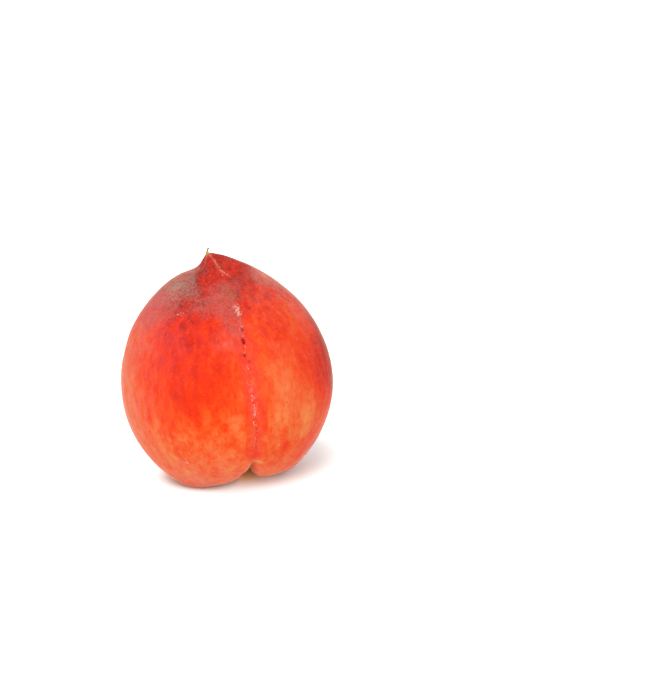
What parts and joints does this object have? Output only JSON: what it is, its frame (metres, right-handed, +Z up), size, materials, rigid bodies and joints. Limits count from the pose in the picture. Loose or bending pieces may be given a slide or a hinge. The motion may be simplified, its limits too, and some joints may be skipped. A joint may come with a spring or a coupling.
{
  "type": "peach",
  "caption": "Whole ripe peach standing on its stem end, with a suture crease down the front, a pointed beak on top, a notch at the base and a stem cavity underneath.",
  "frame": {"origin": "middle of the bounding box, on the ground the fruit stands on", "axes": "+Z up, from the stem end to the beak; -Y is the front, where the suture runs a little right of the middle; +X to the right"},
  "size_m": [0.0726, 0.072, 0.0813],
  "materials": {
    "skin": "matte fuzzy fruit skin, red over orange and yellow",
    "stem": "dark dry wood",
    "style": "dry brown"
  },
  "bodies": {
    "root": {"peach_body": "skin", "stem_stub": "stem", "dried_style": "style"}
  },
  "joints": []
}
